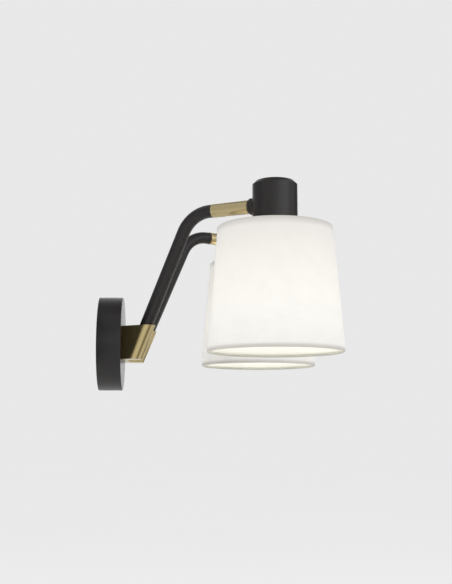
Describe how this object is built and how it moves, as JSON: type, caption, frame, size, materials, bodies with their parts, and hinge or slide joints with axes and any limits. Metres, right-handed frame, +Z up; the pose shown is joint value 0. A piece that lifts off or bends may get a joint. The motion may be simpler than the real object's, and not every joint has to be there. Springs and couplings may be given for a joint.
{
  "type": "double arm wall sconce",
  "caption": "Wall light with a round black plate, a brass bracket, bent black arms with pale sleeves, and swivelling tapered white fabric shades.",
  "frame": {"origin": "centre of the wall plate's back face, on the wall", "axes": "+Z is up, +Y points into the wall, the light stands out towards -Y, +X is to the right for somebody who faces the wall"},
  "size_m": [0.414, 0.297, 0.245],
  "materials": {
    "black_paint": "satin black powder paint",
    "satin_brass": "satin brass, clear lacquered",
    "brushed_brass": "pale brushed brass",
    "brass_plate": "plain machined",
    "zinc_steel": "zinc plated",
    "black_rubber": "matt",
    "lead_sheath": "smooth sheath",
    "white_plastic": "moulded",
    "holder_plastic": "moulded",
    "nylon": "moulded",
    "lamp_base_metal": "rolled thread shell",
    "lamp_glass": "frosted white",
    "white_wire": "white coated wire",
    "shade_fabric": "laminated white woven cloth"
  },
  "bodies": {
    "base": {"wall_cover": "black_paint", "mounting_plate": "zinc_steel", "cover_screws": "black_paint", "feed_grommet": "black_rubber", "lead_grommets": "black_rubber", "terminal_block": "white_plastic", "terminal_screws": "brass_plate", "earth_washer": "brass_plate", "earth_screw": "brass_plate", "bracket": "satin_brass", "tube_screws": "black_paint", "bracket_bolts": "zinc_steel", "bracket_washers": "zinc_steel", "left_arm_tube": "black_paint", "left_lead": "lead_sheath", "left_sleeve": "brushed_brass", "left_swivel_stud": "brass_plate", "left_friction_washer": "nylon", "left_spring_washer": "zinc_steel", "left_swivel_nut": "zinc_steel", "right_arm_tube": "black_paint", "right_lead": "lead_sheath", "right_sleeve": "brushed_brass", "right_swivel_stud": "brass_plate", "right_friction_washer": "nylon", "right_spring_washer": "zinc_steel", "right_swivel_nut": "zinc_steel"},
    "left_head": {"left_swivel_collar": "black_paint", "left_cap": "black_paint", "left_holder_bridge": "zinc_steel", "left_holder_nipple": "brass_plate", "left_nipple_nut": "zinc_steel", "left_lampholder": "holder_plastic", "left_cores": "lead_sheath", "left_lamp_base": "lamp_base_metal", "left_lamp_glass": "lamp_glass", "left_shade_ring": "holder_plastic", "left_shade_carrier": "white_wire", "left_lower_wire": "white_wire", "left_shade": "shade_fabric"},
    "right_head": {"right_swivel_collar": "black_paint", "right_cap": "black_paint", "right_holder_bridge": "zinc_steel", "right_holder_nipple": "brass_plate", "right_nipple_nut": "zinc_steel", "right_lampholder": "holder_plastic", "right_cores": "lead_sheath", "right_lamp_base": "lamp_base_metal", "right_lamp_glass": "lamp_glass", "right_shade_ring": "holder_plastic", "right_shade_carrier": "white_wire", "right_lower_wire": "white_wire", "right_shade": "shade_fabric"}
  },
  "joints": [
    {"name": "left_swivel", "type": "hinge", "parent": "base", "child": "left_head", "pos_m": [-0.126, -0.216, 0.1576], "axis": [-0.4863, -0.8738, 0], "range_deg": [-45, 15]},
    {"name": "right_swivel", "type": "hinge", "parent": "base", "child": "right_head", "pos_m": [0.126, -0.216, 0.1576], "axis": [-0.4863, 0.8738, 0], "range_deg": [-45, 15]}
  ]
}
